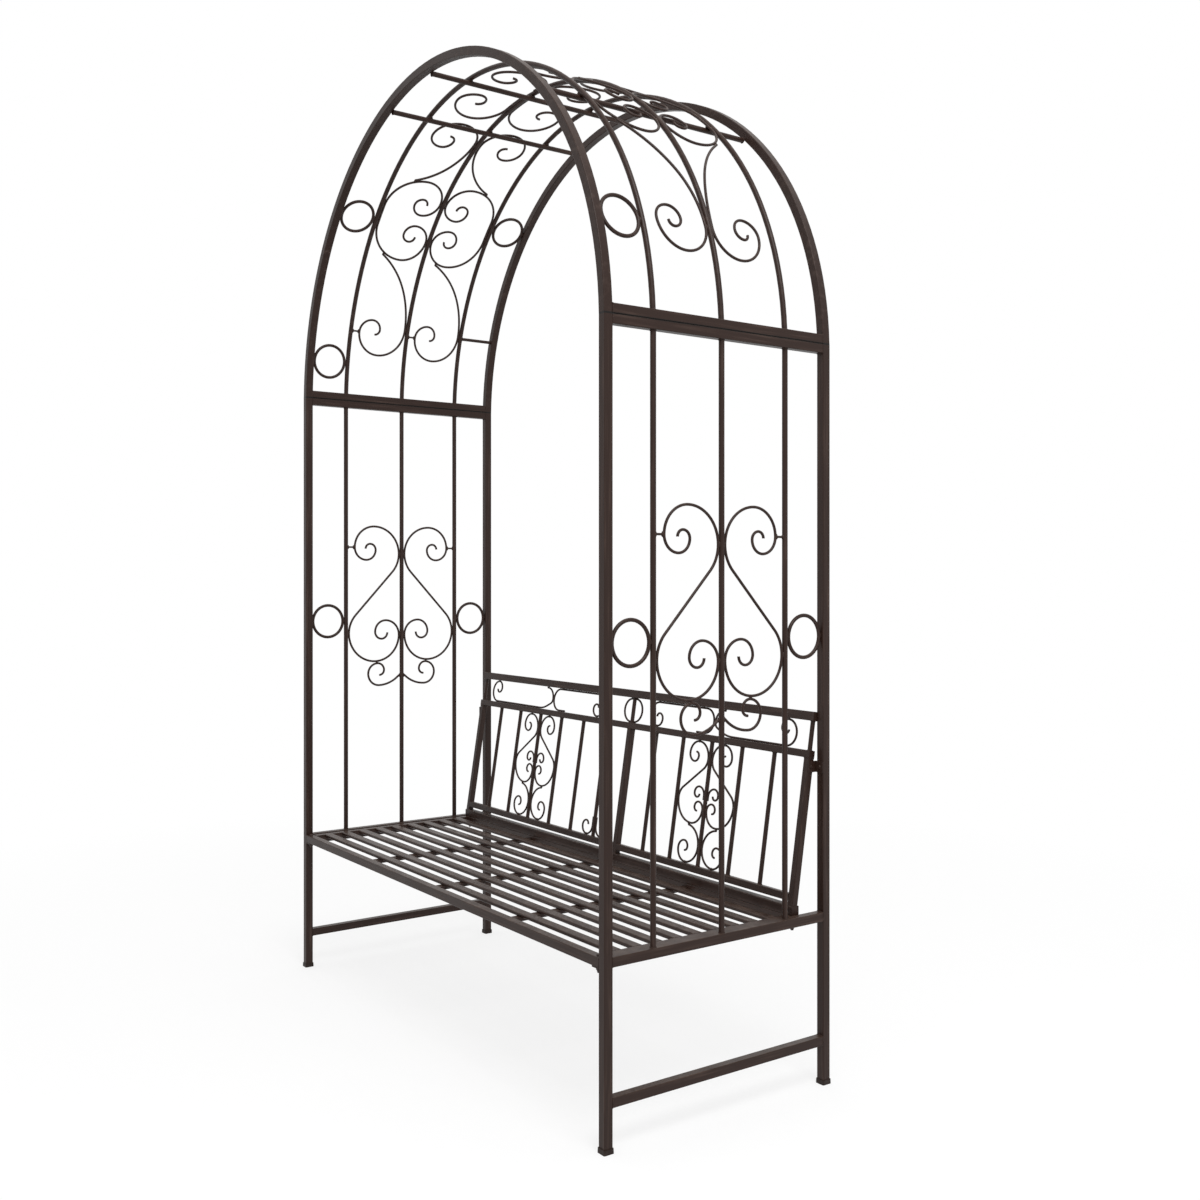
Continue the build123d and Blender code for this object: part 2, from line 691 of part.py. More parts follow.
def back_unit(place):
    """One half of a scroll unit: the S that rounds a belly, the hook above it and the wire below it."""
    top_touch = middle_rail_rise - HEART_TOP_CURL[0] * unit_width - rail_touch
    belly = bar_foot + belly_rise
    down = stem(unit_width, top_touch - belly, 1) + curl(BELLY_CURL, unit_width, -1)
    up = curl(HEART_TOP_CURL, unit_width, -1)
    bent_wire(two_way((unit_near, top_touch), -90.0, down, up), place, back_wire_diameter)
    hook = [run(hook_straight)] + curl(HOOK_CURL, unit_width, -1)
    bent_wire(trace((unit_near, bar_foot + hook_rise), 90.0, hook), place, back_wire_diameter)
    low_touch = bar_foot + BACK_LOW_CURL[0] * unit_width + rail_touch
    reach = BELLY_CURL[0] * unit_width + back_wire_diameter + touch_gap
    low = bend_beside((1 - BELLY_CURL[0]) * unit_width, belly - low_touch, reach, -1)
    rolled = curl(BACK_LOW_CURL, unit_width, 1)
    bent_wire(two_way((unit_near, low_touch), 90.0, low, rolled), place, back_wire_diameter)


def foot_curl(place):
    """A small curl that stands on the bottom rail beside the foot of a bar."""
    radius = FOOT_CURL[0] * unit_width
    start = (unit_near, bar_foot + rail_touch + 2 * radius)
    bent_wire(trace(start, -90.0, [run(radius)] + curl(FOOT_CURL, unit_width, 1)), place, back_wire_diameter)


bay_groups = ((0, left_bay_count, "left"), (left_bay_count, bay_count, "right"))
for first, last, side_name in bay_groups:
    with BuildPart() as back_bars:
        for x in bay_lines[first + 1:last]:
            straight_bar(back_point(x, bar_foot), back_point(x, middle_rail_rise), back_bar_diameter)
    save(back_bars, f"back_{side_name}_bars")

    with BuildPart() as back_scrolls:
        for hand in (-1, 1):
            for number in unit_numbers:
                if first < number < last:
                    back_unit(back_place(hand, bay_lines[number]))
            for number in foot_curl_numbers:
                if first < number < last:
                    foot_curl(back_place(hand, bay_lines[number]))
    save(back_scrolls, f"back_{side_name}_scrolls")

band_half = (top_rail_rise - band_foot) / 2 - rail_touch
band_middle = (top_rail_rise + band_foot) / 2


def band_scrolls(place, length):
    """The wires of one half of the upper band: two back to back at the waist, one arc by the middle."""
    waist = length / 2
    near_run = band_reach - rail_touch - 2 * band_half
    near_top = [arc(band_half, 90.0), run(near_run)] + curl(BAND_CURL, band_half, 1)
    near_foot = [arc(band_half, -90.0), run(band_half)]
    bent_wire(two_way((waist - rail_touch, band_middle), 90.0, near_top, near_foot), place, back_wire_diameter)
    level = 90.0 - band_dive
    dive_bend, level_bend = BAND_DIVE_BEND * band_half, BAND_LEVEL_BEND * band_half
    dropped = dive_bend * sin(radians(band_dive)) + level_bend * (1 - cos(radians(level)))
    slope = (band_half - dropped) / sin(radians(level))
    reached = dive_bend * (1 - cos(radians(band_dive))) + slope * cos(radians(level))
    reached += level_bend * sin(radians(level))
    along_rail = length - band_end_gap - band_half - waist - rail_touch - reached
    far_foot = [arc(dive_bend, band_dive), run(slope), arc(level_bend, level), run(along_rail)]
    far_foot += curl(BAND_CURL, band_half, 1)
    far_top = [arc(band_half, -90.0), run(rail_touch)]
    bent_wire(two_way((waist + rail_touch, band_middle), -90.0, far_foot, far_top), place, back_wire_diameter)
    beside = (back_bar_radius + rail_touch, band_middle + band_half)
    bent_wire(trace(beside, 0.0, [arc(band_half, -180.0)]), place, back_wire_diameter)


with BuildPart() as back_band_scrolls:
    for hand, end in ((-1, stile_lines[0]), (1, stile_lines[2])):
        band_scrolls(back_place(hand, stile_lines[1]), abs(end - stile_lines[1]))
save(back_band_scrolls, "back_band_scrolls")


# Plates that close the open ends of the back's rails and of the seat's end rails
def end_plate(end, inward, size, side_way):
    """A plate inside the end of a square tube, flush with it."""
    bore = size - 2 * tube_wall - 2 * end_plate_gap
    with BuildSketch(Plane(origin=end, x_dir=side_way, z_dir=inward)) as section:
        RectangleRounded(bore, bore, tube_inner_corner)
    extrude(section.sketch, amount=end_plate_thickness)


with BuildPart() as tube_end_plates:
    for side in (-1, 1):
        inward = (-side, 0, 0)
        end_plate((side * seat_frame_x, seat_rear_y, seat_top + half_tube), inward, tube, (0, 1, 0))
        end_plate(back_point(side * stile_outside, middle_rail_rise + half_back_tube), inward, back_tube, lean_way)
        end_plate(back_point(side * (inner_x - top_rail_gap), top_rail_rise + half_tube), inward, tube, lean_way)
        end_plate((side * seat_end_x, seat_rear_y + half_tube, seat_middle), (0, -1, 0), tube, (1, 0, 0))
save(tube_end_plates, "tube_end_plates")

# Brackets and screws that hold the back to the rear posts
stile_leg = post_screw_seat - stile_screw_y + half_back_tube
post_leg = post_x + half_tube - stile_outside
with BuildPart() as back_brackets:
    for side in (-1, 1):
        with Locations((side * (stile_outside + post_leg / 2), inner_y - bracket_thickness / 2, back_bracket_z)):
            Box(post_leg, bracket_thickness, back_bracket_height)
        with Locations((side * (stile_outside + bracket_thickness / 2), post_screw_seat - stile_leg / 2,
                        back_bracket_z)):
            Box(bracket_thickness, stile_leg, back_bracket_height)
        x = side * post_x
        straight_bar((x, stile_screw_y, back_bracket_z), (x, post_y, back_bracket_z), screw_hole, Mode.SUBTRACT)
        straight_bar((side * stile_x, stile_screw_y, back_bracket_z), (x, stile_screw_y, back_bracket_z),
                     screw_hole, Mode.SUBTRACT)
save(back_brackets, "back_brackets")

with BuildPart() as back_screws:
    for side in (-1, 1):
        post_seat = Vector(side * post_x, post_screw_seat, back_bracket_z)
        stile_seat = Vector(side * stile_screw_seat, stile_screw_y, back_bracket_z)
        for seat, way in ((post_seat, Vector(0, -1, 0)), (stile_seat, Vector(side, 0, 0))):
            straight_bar(seat, seat - way * screw_length, screw_diameter)
            round_head(seat, way, screw_head_diameter, screw_head_height)
save(back_screws, "back_screws")

# Bolts and dome nuts of the seat
with BuildPart() as seat_bolts:
    for x in (-seat_end_x, seat_end_x):
        upright_bolt(x, -post_y, seat_top, tube + bracket_thickness + nut_height)
        upright_bolt(x, seat_rear_y, foot_rail_top, 2 * tube + bracket_thickness + nut_height)
save(seat_bolts, "seat_bolts")

with BuildPart() as dome_nuts:
    for x in (-seat_end_x, seat_end_x):
        for y in (-post_y, seat_rear_y):
            dome_nut(x, y, seat_frame_bottom - bracket_thickness)
save(dome_nuts, "dome_nuts")
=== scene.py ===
# %% [markdown]
# An arbor bench: a garden arch of brown powder-coated steel with a slatted bench inside it.
# Its tubes, bars, wires and slats come from the CAD model, which is loaded here as a fixed frame.
# Blender adds what the welder and the painter add on the real bench: beads of weld where wires touch bars,
# collars of weld round the tube ends, and a coat with streaks, orange peel and dust. It also paints a thin
# dark line of shade on the coat, along the groove where the roof meets the side panels.

# %% Load the frame
from math import cos, radians, sin

import bpy
import numpy as np
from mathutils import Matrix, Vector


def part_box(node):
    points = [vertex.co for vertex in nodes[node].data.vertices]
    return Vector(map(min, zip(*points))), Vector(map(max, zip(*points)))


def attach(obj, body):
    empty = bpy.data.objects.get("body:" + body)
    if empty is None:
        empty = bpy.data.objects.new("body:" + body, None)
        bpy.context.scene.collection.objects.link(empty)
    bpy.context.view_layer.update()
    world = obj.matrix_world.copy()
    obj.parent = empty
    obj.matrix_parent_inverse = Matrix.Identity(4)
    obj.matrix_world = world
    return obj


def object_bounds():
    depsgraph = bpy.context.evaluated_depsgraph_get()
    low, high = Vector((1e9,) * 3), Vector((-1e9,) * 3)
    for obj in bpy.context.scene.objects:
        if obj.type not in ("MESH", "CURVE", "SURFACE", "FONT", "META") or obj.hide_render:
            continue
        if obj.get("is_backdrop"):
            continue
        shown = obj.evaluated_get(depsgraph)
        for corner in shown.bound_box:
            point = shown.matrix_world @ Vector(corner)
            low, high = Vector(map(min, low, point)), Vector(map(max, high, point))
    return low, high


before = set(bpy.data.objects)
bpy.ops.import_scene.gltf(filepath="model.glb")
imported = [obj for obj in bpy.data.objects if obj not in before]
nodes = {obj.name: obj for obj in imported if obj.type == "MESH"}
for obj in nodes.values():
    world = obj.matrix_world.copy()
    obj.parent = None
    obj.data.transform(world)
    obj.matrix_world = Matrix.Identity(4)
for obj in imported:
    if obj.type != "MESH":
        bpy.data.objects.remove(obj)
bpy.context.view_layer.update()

# %% [markdown]
# A shader is a small network, and writing it out by hand takes many lines for each node.
# A few helpers keep the later cells short: one adds a node and fills its sockets, one opens a node group,
# and the others do common jobs, such as mixing two colours, doing a sum, making noise or turning a value
# into a share.
# A group is the right home for an effect that several finishes share, because it is built once and then
# placed in each material with its own values.


# %% Helpers for shader networks
def put(tree, kind, sockets=None, **options):
    """Add a node, set its options, and give each named socket a value or a link."""
    node = tree.nodes.new(kind)
    for option, value in options.items():
        setattr(node, option, value)
    for label, value in (sockets or {}).items():
        if isinstance(value, bpy.types.NodeSocket):
            tree.links.new(value, node.inputs[label])
        else:
            node.inputs[label].default_value = value
    return node


def open_group(name, inputs, outputs):
    """Make a node group with named sockets and hand back the tree with its two ends."""
    group = bpy.data.node_groups.new(name, "ShaderNodeTree")
    for label, kind, value in inputs:
        group.interface.new_socket(label, in_out="INPUT", socket_type=kind).default_value = value
    for label, kind in outputs:
        group.interface.new_socket(label, in_out="OUTPUT", socket_type=kind)
    return group, group.nodes.new("NodeGroupInput").outputs, group.nodes.new("NodeGroupOutput").inputs


def blend(tree, share, first, second):
    """Mix two colours by a share from 0 to 1."""
    return put(tree, "ShaderNodeMix", {0: share, 6: first, 7: second}, data_type="RGBA").outputs[2]


def between(tree, value, low, high, first=0.0, last=1.0):
    """A number that goes from first to last while the value goes from low to high."""
    return put(tree, "ShaderNodeMapRange", {"Value": value, "From Min": low, "From Max": high,
                                            "To Min": first, "To Max": last}).outputs[0]


def work_out(tree, operation, *values):
    """The result of a Math node that is given values or links."""
    return put(tree, "ShaderNodeMath", dict(enumerate(values)), operation=operation).outputs[0]


def noise(tree, place, scale, detail):
    """Soft noise from 0 to 1, with a number of grains to the metre and a number of finer layers."""
    return put(tree, "ShaderNodeTexNoise", {"Vector": place, "Scale": scale, "Detail": detail}).outputs["Fac"]


def object_place(tree):
    """The place of a spot in metres, measured from the bench's origin."""
    return put(tree, "ShaderNodeTexCoord").outputs["Object"]


print("shader helpers ready")

# %% [markdown]
# Powder coat is sprayed on dry and melted in an oven, so it flows into a fine ripple called orange peel.
# On long tubes it also shows faint lighter streaks along the tube, where hands and rain have run down it.
# The group takes a stretch for each axis: a small number on one axis draws the noise out along that axis.
# An image of scratches would need a UV map on every tube, while noise on Object coordinates needs none.

# %% Group for the powder coat
peel_coat, start, end = open_group(
    "powder_coat",
    [("Stretch", "NodeSocketVector", (1, 1, 1)), ("Deep", "NodeSocketColor", (0, 0, 0, 1)),
     ("Pale", "NodeSocketColor", (1, 1, 1, 1)), ("Roughness", "NodeSocketFloat", 0.4)],
    [("Colour", "NodeSocketColor"), ("Roughness", "NodeSocketFloat"), ("Height", "NodeSocketFloat")])
place = object_place(peel_coat)
drawn = put(peel_coat, "ShaderNodeVectorMath", {0: place, 1: start["Stretch"]},
            operation="MULTIPLY").outputs[0]
streak_grain, patch_grain, peel_grain = 170.0, 11.0, 620.0
streak = noise(peel_coat, drawn, streak_grain, 4.0)
patch = noise(peel_coat, place, patch_grain, 3.0)
peel = noise(peel_coat, place, peel_grain, 1.0)
streak_share, patch_share = between(peel_coat, streak, 0.5, 0.78), between(peel_coat, patch, 0.3, 0.7)
share = work_out(peel_coat, "MULTIPLY", streak_share, patch_share)
peel_coat.links.new(blend(peel_coat, share, start["Deep"], start["Pale"]), end["Colour"])
patch_dullness = 0.22
dull = work_out(peel_coat, "MULTIPLY_ADD", patch, patch_dullness, start["Roughness"])
peel_coat.links.new(dull, end["Roughness"])
peel_coat.links.new(peel, end["Height"])
print("powder_coat has", len(peel_coat.nodes), "nodes")

# %% [markdown]
# Garden furniture gathers dust and pollen on faces that look up, and the coat looks greyer there.
# The group reads the surface normal: its Z part is 1 on level tops and 0 on upright faces.
# Noise breaks the film up, so that it lies in patches as real dust does.

# %% Group for dust on level faces
top_dust, start, end = open_group(
    "dust_on_top",
    [("Colour", "NodeSocketColor", (0, 0, 0, 1)), ("Dust", "NodeSocketColor", (1, 1, 1, 1)),
     ("Amount", "NodeSocketFloat", 0.3)],
    [("Colour", "NodeSocketColor")])
normal = put(top_dust, "ShaderNodeNewGeometry").outputs["Normal"]
upward = put(top_dust, "ShaderNodeSeparateXYZ", {0: normal}).outputs["Z"]
film_grain = 38.0
film = noise(top_dust, object_place(top_dust), film_grain, 5.0)
facing_up, patches = between(top_dust, upward, 0.35, 0.95), between(top_dust, film, 0.25, 0.75)
level = work_out(top_dust, "MULTIPLY", facing_up, patches)
lying = work_out(top_dust, "MULTIPLY", level, start["Amount"])
top_dust.links.new(blend(top_dust, lying, start["Colour"], start["Dust"]), end["Colour"])
print("dust_on_top has", len(top_dust.nodes), "nodes")

# %% [markdown]
# The roof is a part of its own and stands on the two side panels. The groove between their rails lies in
# shade, so a thin dark line of painted shade runs round the frame at that height to stand for it.
# The line needs no piece of its own: the group reads the height of each spot and darkens the coat
# where it is within two millimetres of the joint, and noise makes the edge of the line uneven.

# %% Group for painted shade in the joint
joint_shade, start, end = open_group(
    "painted_shade_in_joint",
    [("Colour", "NodeSocketColor", (0, 0, 0, 1)), ("Shade", "NodeSocketColor", (0, 0, 0, 1)),
     ("Height", "NodeSocketFloat", 1.0)],
    [("Colour", "NodeSocketColor")])
place = object_place(joint_shade)
height = put(joint_shade, "ShaderNodeSeparateXYZ", {0: place}).outputs["Z"]
# The coat is darkened near the joint height: painted shade for the shaded groove between the rails.
edge_grain, waver, line_edge, line_core = 90.0, 0.0012, 0.0026, 0.0012
uneven = noise(joint_shade, place, edge_grain, 3.0)
level = work_out(joint_shade, "MULTIPLY_ADD", uneven, waver, start["Height"])
away = work_out(joint_shade, "ABSOLUTE", work_out(joint_shade, "SUBTRACT", height, level))
in_shade = between(joint_shade, away, line_edge, line_core)
joint_shade.links.new(blend(joint_shade, in_shade, start["Colour"], start["Shade"]), end["Colour"])
print("painted_shade_in_joint has", len(joint_shade.nodes), "nodes")

# %% [markdown]
# The bench is one colour, a dark espresso brown, but its stock runs three ways: posts stand, rails and slats
# lie along X, and the cross rails lie along Y. Streaks follow the stock, so the coat is made once for each
# direction, and once with no direction for the bent wires. Welds and fasteners get the same coat, rougher or
# glossier, and the plastic caps under the posts get a darker and duller one.


# %% Coat finishes
deep_brown, pale_brown = (0.0215, 0.0098, 0.0066), (0.066, 0.040, 0.031)
# The second colour here is painted shade for the shaded groove where the roof meets the side panels.
dust_colour, joint_shade_colour = (0.21, 0.150, 0.117, 1), (0.0045, 0.0030, 0.0025, 1)
joint_z, peel_depth = 1.5954, 0.0006


def coat(name, stretch, roughness=0.30, deep=deep_brown, pale=pale_brown, dust=0.24, bump=0.12):
    """A finish in layers: powder coat, painted shade in the joint, dust on level faces, and orange peel as a
    bump.
    """
    finish = bpy.data.materials.new(name)
    finish.use_nodes = True
    tree, shader = finish.node_tree, finish.node_tree.nodes["Principled BSDF"]
    skin = put(tree, "ShaderNodeGroup", node_tree=peel_coat)
    skin.inputs["Stretch"].default_value = stretch
    skin.inputs["Deep"].default_value = (*deep, 1)
    skin.inputs["Pale"].default_value = (*pale, 1)
    skin.inputs["Roughness"].default_value = roughness
    film = put(tree, "ShaderNodeGroup", node_tree=top_dust)
    film.inputs["Dust"].default_value = dust_colour
    film.inputs["Amount"].default_value = dust
    # Painted shade: a dark line at the joint height stands for the shaded groove between the rails.
    line = put(tree, "ShaderNodeGroup", node_tree=joint_shade)
    line.inputs["Shade"].default_value = joint_shade_colour
    line.inputs["Height"].default_value = joint_z
    tree.links.new(skin.outputs["Colour"], line.inputs["Colour"])
    tree.links.new(line.outputs["Colour"], film.inputs["Colour"])
    tree.links.new(film.outputs["Colour"], shader.inputs["Base Color"])
    tree.links.new(skin.outputs["Roughness"], shader.inputs["Roughness"])
    ripple = put(tree, "ShaderNodeBump", {"Height": skin.outputs["Height"], "Strength": bump,
                                          "Distance": peel_depth})
    tree.links.new(ripple.outputs["Normal"], shader.inputs["Normal"])
    shader.inputs["Specular IOR Level"].default_value = 0.22
    return finish


drawn_out = 0.035
upright_coat = coat("brown_coat_upright", (1.0, 1.0, drawn_out))
lengthwise_coat = coat("brown_coat_lengthwise", (drawn_out, 1.0, 1.0))
crosswise_coat = coat("brown_coat_crosswise", (1.0, drawn_out, 1.0))
wire_coat = coat("brown_coat_wire", (0.45, 0.45, 0.45), pale=(0.055, 0.034, 0.027))
weld_coat = coat("brown_coat_weld", (1.0, 1.0, 1.0), roughness=0.36, bump=0.5)
bolt_coat = coat("brown_coat_bolt", (0.6, 0.6, 0.6), roughness=0.22, deep=(0.026, 0.0135, 0.0100))
foot_plastic = coat("brown_foot_plastic", (0.5, 0.5, 0.5), roughness=0.44, deep=(0.0165, 0.0090, 0.0068),
                    pale=(0.038, 0.026, 0.022), dust=0.1, bump=0.3)
finishes = (upright_coat, lengthwise_coat, crosswise_coat, wire_coat, weld_coat, bolt_coat, foot_plastic)
print(len(finishes), "finishes")

# %% [markdown]
# Each CAD node keeps its mesh, and only its material slot is filled. A dictionary with every name would do,
# but the name of a node says which way its stock runs, so short lists of words are enough to choose its coat.

# %% Coat the CAD nodes
crosswise = ("stretcher", "panel_top_rail", "panel_seat_rail", "arch_rail", "purlins", "seat_left_rail",
             "seat_right_rail", "cross_bars", "spacer")
lengthwise = ("seat_front", "seat_rear", "slats", "back_foot", "back_bottom", "back_middle_rail", "back_top")
upright = ("post", "panel_bars", "stile", "left_bars", "right_bars", "band_bars", "seat_brackets",
           "back_brackets")
fasteners = ("bolts", "nuts", "screws")
for name, node in nodes.items():
    finish = wire_coat
    for words, choice in ((crosswise, crosswise_coat), (lengthwise, lengthwise_coat), (upright, upright_coat),
                          (fasteners, bolt_coat), (("foot_caps",), foot_plastic)):
        if any(word in name for word in words):
            finish = choice
            break
    node.data.materials.clear()
    node.data.materials.append(finish)
print({finish.name: sum(node.data.materials[0] == finish for node in nodes.values()) for finish in finishes})

# %% [markdown]
# The welder fixes each wire with a short bead where it touches a bar. A bead is a small lump of metal,
# longer along the touching line than across it, and no two are alike.
# A metaball or a sculpted blob could do it, but a ball with a wavy radius is a plain formula of two angles,
# and numpy can work out all the beads of a group at once.


# %% Surfaces of weld beads
def add_piece(name, points, faces, finish):
    """Put points and faces into a smooth mesh that rides on the frame."""
    mesh = bpy.data.meshes.new(name)
    mesh.from_pydata(points.reshape(-1, 3).tolist(), [], faces)
    mesh.polygons.foreach_set("use_smooth", np.ones(len(mesh.polygons), bool))
    mesh.materials.append(finish)
    mesh.update()
    piece = bpy.data.objects.new(name, mesh)
    bpy.context.scene.collection.objects.link(piece)
    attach(piece, "root")
    print(name, len(points), "copies,", len(mesh.polygons), "faces")


def ball_faces(rings, around, copies):
    """Quads between the rings of points of a ball and triangles to its two poles, for every copy."""
    ring, spoke = np.meshgrid(np.arange(rings - 1), np.arange(around), indexing="ij")
    here, beside = ring * around + spoke, ring * around + (spoke + 1) % around
    quads = np.stack([here, beside, beside + around, here + around], -1).reshape(-1, 4)
    spoke = np.arange(around)
    beside, top = (spoke + 1) % around, (rings - 1) * around
    low_pole, high_pole = np.full(around, rings * around), np.full(around, rings * around + 1)
    fans = np.concatenate([np.stack([beside, spoke, low_pole], -1),
                           np.stack([top + spoke, top + beside, high_pole], -1)])
    shift = (np.arange(copies) * (rings * around + 2))[:, None, None]
    return (quads + shift).reshape(-1, 4).tolist() + (fans + shift).reshape(-1, 3).tolist()


def weld_beads(name, centres, frames, sizes, rings=5, around=9):
    """Lumpy balls: a unit ball by latitude and longitude, whose radius is 1 plus 0.10 times a sine of three
    times the longitude and 0.08 times a sine of four times the latitude, with phases of its own. It is
    stretched by three half sizes along the axes of its frame and moved to its centre."""
    count, phase_step = len(centres), 2.4
    phase = np.arange(count)[:, None, None] * phase_step
    latitude = np.linspace(-1, 1, rings + 2)[1:-1, None] * np.pi / 2
    longitude = np.arange(around)[None, :] * 2 * np.pi / around
    round_wave = 0.10 * np.sin(3 * longitude + phase) * np.cos(latitude)
    long_wave = 0.08 * np.sin(4 * latitude + 1.7 * phase)
    radius = 1 + round_wave + long_wave
    unit = np.stack(np.broadcast_arrays(np.cos(latitude) * np.cos(longitude),
                                        np.cos(latitude) * np.sin(longitude), np.sin(latitude)), -1)
    ball = (unit[None] * radius[..., None]).reshape(count, -1, 3)
    poles = np.broadcast_to(np.array([[0, 0, -1.0], [0, 0, 1.0]]), (count, 2, 3))
    local = np.concatenate([ball, poles], 1) * np.asarray(sizes)
    points = centres[:, None, :] + np.einsum("nka,nab->nkb", local, frames)
    add_piece(name, points, ball_faces(rings, around, count), weld_coat)


def same_frame(axes, centres):
    """One frame repeated for every centre."""
    return np.broadcast_to(axes, (len(centres), 3, 3))


print("bead surfaces ready")

# %% [markdown]
# In each side panel the two S-scrolls touch the middle bar and an outer bar. Their stubs, the lower curls and
# the rings have touches of their own. One list of them, each a distance from the middle bar and a height,
# serves both hands and both panels: numpy mirrors it, so that a change in the list changes all four.

# %% Beads of the side panels
post_x, bar_spacing, ring_z = 0.715, 0.176, 0.967
middle_bar, outer_bar, ring_inside, ring_outside = 0.0061, 0.1699, 0.182, 0.280
stub_inside, stub_z = 0.1518, 1.1781
wire_bead = (0.0036, 0.0031, 0.0062)
panel_touches = np.array([
    (middle_bar, 1.160), (middle_bar, 0.9237), (outer_bar, 0.930), (stub_inside, stub_z), (outer_bar, stub_z),
    (0.0066, 0.8043), (0.0790, 0.8449), (ring_inside, ring_z), (ring_outside, ring_z)])
both, rows = (-1, 1), np.arange(len(panel_touches))
side, hand, number = (grid.ravel() for grid in np.meshgrid(both, both, rows, indexing="ij"))
across, height = panel_touches[number].T
centres = np.stack([side * post_x, hand * across, height], -1)
weld_beads("panel_weld_beads", centres, same_frame(np.eye(3), centres), wire_bead)

# %% [markdown]
# The roof is a half cylinder, so a place on it is a side, a depth and an angle above the foot of the arch.
# The frame of a bead turns with the angle: its first axis points out of the roof and its third along the arc.
# Scrolls, curls, rings and the spacer have their touches in one list of such rows.


# %% Beads of the roof
arch_radius, arch_z = post_x, 1.578
left, right = both
front, rear = both
roof_stub_inside, stub_angle, top_angle = 0.1527, 17.48, 87.9
touches = []
for line, across, angle in ((0.0, 0.1245, 35.98), (bar_spacing, 0.1335, 35.33)):
    touches += [(left, line - middle_bar, 18.75), (left, line - across, angle),
                (left, line - roof_stub_inside, stub_angle), (left, line - outer_bar, stub_angle)]
c_touches = ((outer_bar, -2.0), (outer_bar, 2.0), (middle_bar, -4.93), (middle_bar, 4.93),
             (0.1112, 9.58), (middle_bar, 22.50))
for hand in both:
    touches += [(right, hand * middle_bar, 19.2), (right, hand * 0.1345, 41.06)]
    for side, middle, crown in ((left, 45.0, 82.0), (right, 49.5, 86.0)):
        touches += [(side, hand * across, middle + turn) for across, turn in c_touches]
        touches += [(side, hand * middle_bar, top_angle), (side, hand * middle_bar, crown)]
for side, depth, angle in ((left, front, 10.0), (left, front, 43.5), (left, rear, 46.0), (right, front, 18.0),
                           (left, rear, 18.5)):
    touches += [(side, depth * ring_inside, angle), (side, depth * ring_outside, angle)]


def roof_frames(rows):
    """Centre = (side R cos a, y, z0 + R sin a); the axes point out of the roof, along Y and along the arc."""
    side, depth, angle = np.array(rows, float).T
    angle = np.radians(angle)
    zero = np.zeros_like(side)
    outward = np.stack([side * np.cos(angle), zero, np.sin(angle)], -1)
    level = np.stack([zero, side, zero], -1)
    climb = np.stack([-side * np.sin(angle), zero, np.cos(angle)], -1)
    centre = outward * arch_radius + np.stack([zero, depth, zero + arch_z], -1)
    return centre, np.stack([outward, level, climb], 1)


centres, frames = roof_frames(touches)
weld_beads("roof_weld_beads", centres, frames, wire_bead)

# %% [markdown]
# The three purlins cross under the three rods, and each crossing is held by one flat bead that shows on both
# sides. The crossings lie on one smaller cylinder, so the same turning frame is used with a shorter radius.

# %% Beads where rods cross purlins
purlin_x, bar_y = np.array((-0.205, 0.0, 0.465)), (-bar_spacing, 0.0, bar_spacing)
crossing_radius, crossing_bead = 0.709, (0.0030, 0.0068, 0.0068)
spot_x, spot_y = (grid.ravel() for grid in np.meshgrid(purlin_x, bar_y, indexing="ij"))
lean = np.arccos(np.abs(spot_x) / crossing_radius)
side = np.where(spot_x < 0, -1.0, 1.0)
centres, frames = roof_frames(np.stack([side, spot_y, np.degrees(lean)], -1))
centres -= frames[:, 0] * (arch_radius - crossing_radius)
weld_beads("purlin_weld_beads", centres, frames, crossing_bead)

# %% [markdown]
# The back leans, so its places are given by a distance across and a rise along the lean, as on a drawing
# of it laid flat. Its wires are thinner than those of the panels and so are the beads.
# They sit where the scroll units touch their bars and rails, and along the long wires of the upper band.


# %% Beads of the back
back_lean, back_foot_y, back_foot_z = radians(9.0), 0.218, 0.390


def back_frames(rows):
    """Centre = (x, foot y + rise sin lean, foot z + rise cos lean); the axes point along X, out of the back
    and up the lean."""
    across, rise = np.array(rows, float).T
    tilt_sin, tilt_cos = sin(back_lean), cos(back_lean)
    centre = np.stack([across, back_foot_y + rise * tilt_sin, back_foot_z + rise * tilt_cos], -1)
    axes = np.array([(1, 0, 0), (0, tilt_cos, -tilt_sin), (0, tilt_sin, tilt_cos)])
    return centre, same_frame(axes, centre)


bay = 0.106769
bay_line = -0.694 + bay * np.arange(14)
left_stile, middle_stile, right_stile, foot_curl_bar, unit_bars = 0, 7, 13, 6, (3, 10)
beside_bar, rail_rise = 0.0051, 0.0253
band_start, top_rise, middle_rise, low_rise = 0.0105, 0.3955, 0.364, 0.3325
back_bead = (0.0026, 0.0030, 0.0048)
unit_touches = ((beside_bar, 0.2754), (beside_bar, 0.1557), (beside_bar, 0.183), (beside_bar, 0.0678),
                (bay - beside_bar, 0.174), (0.0497, 0.1168), (0.0456, 0.3147), (0.0488, rail_rise))
touches = []
for hand in both:
    for unit in unit_bars:
        touches += [(bay_line[unit] + hand * across, rise) for across, rise in unit_touches]
    curl_line = bay_line[foot_curl_bar]
    touches += [(curl_line + hand * beside_bar, 0.064), (curl_line + hand * 0.0314, rail_rise)]
    length = abs(bay_line[left_stile if hand < 0 else right_stile] - bay_line[middle_stile])
    waist = length / 2
    band_touches = ((band_start, top_rise), (band_start, low_rise), (waist, middle_rise),
                    (waist - 0.045, top_rise), (waist - 0.045, low_rise), (waist + 0.034, top_rise),
                    (waist - 0.216, top_rise), (waist - 0.216, low_rise),
                    (length - 0.0745, top_rise), (length - 0.0745, low_rise))
    touches += [(bay_line[middle_stile] + hand * across, rise) for across, rise in band_touches]
centres, frames = back_frames(touches)
weld_beads("back_weld_beads", centres, frames, back_bead)

